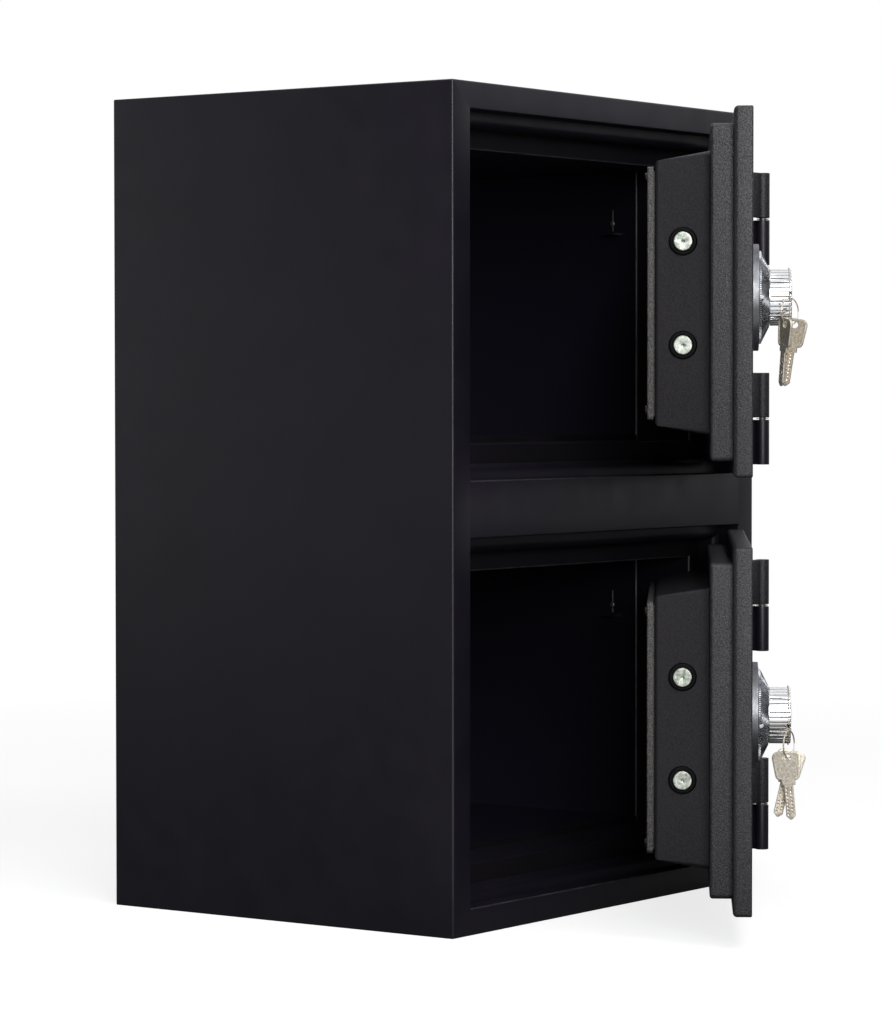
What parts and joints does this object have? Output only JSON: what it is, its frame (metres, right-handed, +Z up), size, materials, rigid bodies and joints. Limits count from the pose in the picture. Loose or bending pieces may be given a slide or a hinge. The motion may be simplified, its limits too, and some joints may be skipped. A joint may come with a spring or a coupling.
{
  "type": "fireproof safe",
  "caption": "Upright fireproof safe with stacked compartments, stepped hinged doors, sliding bolts, combination dials and hanging keys.",
  "frame": {"origin": "centre of the cabinet's base, on the floor", "axes": "+Z up, the front with the doors faces -Y, and the door hinges are on the +X side"},
  "size_m": [0.46, 0.5747, 0.68],
  "materials": {
    "powder_coat": "satin",
    "liner_paint": "gloss",
    "fire_fill": "matte",
    "guide_moulding": "matte",
    "zinc_plate": "satin",
    "plain_steel": "satin",
    "lock_brass": "satin",
    "dial_chrome": "polished",
    "key_nickel": "satin"
  },
  "bodies": {
    "cabinet": {"outer_shell": "powder_coat", "back_panel": "powder_coat", "insulation_fill": "fire_fill", "upper_door_frame": "powder_coat", "upper_liner": "liner_paint", "upper_hinge_top_frame_leaf": "powder_coat", "upper_hinge_top_pin": "zinc_plate", "upper_hinge_bottom_frame_leaf": "powder_coat", "upper_hinge_bottom_pin": "zinc_plate", "lower_door_frame": "powder_coat", "lower_liner": "liner_paint", "lower_hinge_top_frame_leaf": "powder_coat", "lower_hinge_top_pin": "zinc_plate", "lower_hinge_bottom_frame_leaf": "powder_coat", "lower_hinge_bottom_pin": "zinc_plate"},
    "upper_door": {"upper_door_plate": "powder_coat", "upper_door_step": "powder_coat", "upper_door_fill": "fire_fill", "upper_lock_box": "powder_coat", "upper_lock_box_cover": "powder_coat", "upper_bolt_guide": "guide_moulding", "upper_lock_case": "plain_steel", "upper_dial_ring": "dial_chrome", "upper_hinge_top_door_leaf": "powder_coat", "upper_hinge_bottom_door_leaf": "powder_coat"},
    "upper_boltwork": {"upper_bolt_top": "zinc_plate", "upper_bolt_bottom": "zinc_plate", "upper_bolt_carrier": "plain_steel"},
    "upper_fence": {"upper_fence_lever": "lock_brass"},
    "upper_dial": {"upper_dial": "dial_chrome", "upper_spindle": "plain_steel", "upper_wheel_pack": "lock_brass", "upper_key_tie": "key_nickel"},
    "upper_key_plug": {"upper_key_plug": "lock_brass"},
    "upper_key_ring": {"upper_key_ring": "key_nickel"},
    "upper_key_near": {"upper_key_near": "key_nickel"},
    "upper_key_far": {"upper_key_far": "key_nickel"},
    "lower_door": {"lower_door_plate": "powder_coat", "lower_door_step": "powder_coat", "lower_door_fill": "fire_fill", "lower_lock_box": "powder_coat", "lower_lock_box_cover": "powder_coat", "lower_bolt_guide": "guide_moulding", "lower_lock_case": "plain_steel", "lower_dial_ring": "dial_chrome", "lower_hinge_top_door_leaf": "powder_coat", "lower_hinge_bottom_door_leaf": "powder_coat"},
    "lower_boltwork": {"lower_bolt_top": "zinc_plate", "lower_bolt_bottom": "zinc_plate", "lower_bolt_carrier": "plain_steel"},
    "lower_fence": {"lower_fence_lever": "lock_brass"},
    "lower_dial": {"lower_dial": "dial_chrome", "lower_spindle": "plain_steel", "lower_wheel_pack": "lock_brass", "lower_key_tie": "key_nickel"},
    "lower_key_plug": {"lower_key_plug": "lock_brass"},
    "lower_key_ring": {"lower_key_ring": "key_nickel"},
    "lower_key_near": {"lower_key_near": "key_nickel"},
    "lower_key_far": {"lower_key_far": "key_nickel"}
  },
  "joints": [
    {"name": "upper_door_swing", "type": "hinge", "parent": "cabinet", "child": "upper_door", "pos_m": [0.218, -0.192, 0.5105], "axis": [0, 0, 1], "range_deg": [-32, 148]},
    {"name": "upper_bolt_slide", "type": "slide", "parent": "upper_door", "child": "upper_boltwork", "axis": [-0.848, -0.5299, 0], "range_m": [0, 0.016]},
    {"name": "upper_fence_pivot", "type": "hinge", "parent": "upper_boltwork", "child": "upper_fence", "pos_m": [-0.08576, -0.29809, 0.5413], "axis": [-0.5299, 0.848, 0], "range_deg": [0, 5]},
    {"name": "upper_dial_turn", "type": "hinge", "parent": "upper_door", "child": "upper_dial", "pos_m": [-0.00726, -0.31271, 0.5105], "axis": [0.5299, -0.848, 0], "continuous": true},
    {"name": "upper_key_plug_turn", "type": "hinge", "parent": "upper_dial", "child": "upper_key_plug", "pos_m": [0.00864, -0.33815, 0.5105], "axis": [0.5299, -0.848, 0], "range_deg": [0, 90]},
    {"name": "upper_key_ring_swing", "type": "hinge", "parent": "upper_dial", "child": "upper_key_ring", "pos_m": [-0.01253, -0.35409, 0.5079], "axis": [0.1392, 0.9903, 0], "range_deg": [-3, 15]},
    {"name": "upper_key_near_swing", "type": "hinge", "parent": "upper_key_ring", "child": "upper_key_near", "pos_m": [-0.00709, -0.35486, 0.48877], "axis": [-0.9903, -0.1392, 0], "range_deg": [-2, 25]},
    {"name": "upper_key_far_swing", "type": "hinge", "parent": "upper_key_ring", "child": "upper_key_far", "pos_m": [-0.01798, -0.35333, 0.48877], "axis": [-0.829, 0.5592, 0], "range_deg": [-2, 25]},
    {"name": "lower_door_swing", "type": "hinge", "parent": "cabinet", "child": "lower_door", "pos_m": [0.218, -0.192, 0.1695], "axis": [0, 0, 1], "range_deg": [-32, 148]},
    {"name": "lower_bolt_slide", "type": "slide", "parent": "lower_door", "child": "lower_boltwork", "axis": [-0.848, -0.5299, 0], "range_m": [0, 0.016]},
    {"name": "lower_fence_pivot", "type": "hinge", "parent": "lower_boltwork", "child": "lower_fence", "pos_m": [-0.08576, -0.29809, 0.2003], "axis": [-0.5299, 0.848, 0], "range_deg": [0, 5]},
    {"name": "lower_dial_turn", "type": "hinge", "parent": "lower_door", "child": "lower_dial", "pos_m": [-0.00726, -0.31271, 0.1695], "axis": [0.5299, -0.848, 0], "continuous": true},
    {"name": "lower_key_plug_turn", "type": "hinge", "parent": "lower_dial", "child": "lower_key_plug", "pos_m": [0.00864, -0.33815, 0.1695], "axis": [0.5299, -0.848, 0], "range_deg": [0, 90]},
    {"name": "lower_key_ring_swing", "type": "hinge", "parent": "lower_dial", "child": "lower_key_ring", "pos_m": [-0.01105, -0.35317, 0.15744], "axis": [-0.1219, 0.9925, 0], "range_deg": [-3, 25]},
    {"name": "lower_key_near_swing", "type": "hinge", "parent": "lower_key_ring", "child": "lower_key_near", "pos_m": [-0.00559, -0.3525, 0.13831], "axis": [-0.7986, -0.6018, 0], "range_deg": [-12, 25]},
    {"name": "lower_key_far_swing", "type": "hinge", "parent": "lower_key_ring", "child": "lower_key_far", "pos_m": [-0.0165, -0.35384, 0.13831], "axis": [-0.9397, -0.342, 0], "range_deg": [-20, 25]}
  ]
}
